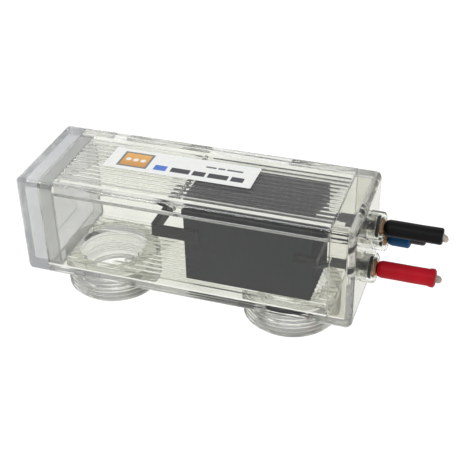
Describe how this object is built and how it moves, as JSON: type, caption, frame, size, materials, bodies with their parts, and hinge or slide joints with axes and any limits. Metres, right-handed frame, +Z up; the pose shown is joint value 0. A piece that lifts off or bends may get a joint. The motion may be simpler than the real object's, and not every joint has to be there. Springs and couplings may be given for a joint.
{
  "type": "salt chlorine generator",
  "caption": "Clear rectangular salt chlorine generator cell on threaded ports, with an electrode plate pack inside and colour-coded push-on plugs on its sealed end terminals.",
  "frame": {"origin": "bottom centre of the whole object's box, plugs included: on the plane of the port mouths, under the middle of the length and width", "axes": "+X along the chamber from the blind end towards the terminals, +Y from the front face towards the back face, +Z up from the port mouths to the label face"},
  "size_m": [0.2738, 0.0772, 0.0938],
  "materials": {
    "clear_acrylic": "polished clear, faint grey-green tint",
    "clear_gland": "clear moulded",
    "coated_plate": "dull slate-grey oxide coating on titanium",
    "black_nylon": "satin moulded",
    "titanium": "dull dark titanium",
    "seal_rubber": "matt",
    "ferrule_brass": "turned, slightly tarnished",
    "red_boot": "satin soft vinyl",
    "black_boot": "satin soft vinyl",
    "blue_boot": "satin soft vinyl",
    "tinned_contact": "dull tinned",
    "label_film": "printed white polyester film, satin"
  },
  "bodies": {
    "cell": {"housing_tube": "clear_acrylic", "blind_end_cap": "clear_acrylic", "terminal_end_cap": "clear_acrylic", "inlet_port": "clear_acrylic", "outlet_port": "clear_acrylic", "plate_stop_bar": "clear_acrylic", "electrode_plate_01": "coated_plate", "electrode_plate_02": "coated_plate", "electrode_plate_03": "coated_plate", "electrode_plate_04": "coated_plate", "electrode_plate_05": "coated_plate", "electrode_plate_06": "coated_plate", "electrode_plate_07": "coated_plate", "electrode_plate_08": "coated_plate", "electrode_plate_09": "coated_plate", "electrode_plate_10": "coated_plate", "pack_retainer_loop": "black_nylon", "pack_spacer_clip": "black_nylon", "anode_strap": "titanium", "cathode_strap": "titanium", "centre_strap": "titanium", "red_stud": "titanium", "red_inner_gasket": "seal_rubber", "red_seal_ring": "seal_rubber", "red_ferrule": "ferrule_brass", "black_stud": "titanium", "black_inner_gasket": "seal_rubber", "black_seal_ring": "seal_rubber", "black_ferrule": "ferrule_brass", "blue_stud": "titanium", "blue_inner_gasket": "seal_rubber", "blue_seal_ring": "seal_rubber", "blue_ferrule": "ferrule_brass", "rating_label": "label_film"},
    "red_plug": {"red_boot": "red_boot", "red_contact": "tinned_contact"},
    "red_gland": {"red_gland_nut": "clear_gland"},
    "black_plug": {"black_boot": "black_boot", "black_contact": "tinned_contact"},
    "black_gland": {"black_gland_nut": "clear_gland"},
    "blue_plug": {"blue_boot": "blue_boot", "blue_contact": "tinned_contact"},
    "blue_gland": {"blue_gland_nut": "clear_gland"}
  },
  "joints": [
    {"name": "red_plug_pull", "type": "slide", "parent": "cell", "child": "red_plug", "axis": [1, 0, 0], "range_m": [0, 0.03]},
    {"name": "red_gland_turn", "type": "hinge", "parent": "cell", "child": "red_gland", "pos_m": [0.0926, -0.0179, 0.0575], "axis": [1, 0, 0], "continuous": true},
    {"name": "black_plug_pull", "type": "slide", "parent": "cell", "child": "black_plug", "axis": [1, 0, 0], "range_m": [0, 0.03]},
    {"name": "black_gland_turn", "type": "hinge", "parent": "cell", "child": "black_gland", "pos_m": [0.0926, 0, 0.0763], "axis": [1, 0, 0], "continuous": true},
    {"name": "blue_plug_pull", "type": "slide", "parent": "cell", "child": "blue_plug", "axis": [1, 0, 0], "range_m": [0, 0.02]},
    {"name": "blue_gland_turn", "type": "hinge", "parent": "cell", "child": "blue_gland", "pos_m": [0.0926, 0.0179, 0.0575], "axis": [1, 0, 0], "continuous": true}
  ]
}
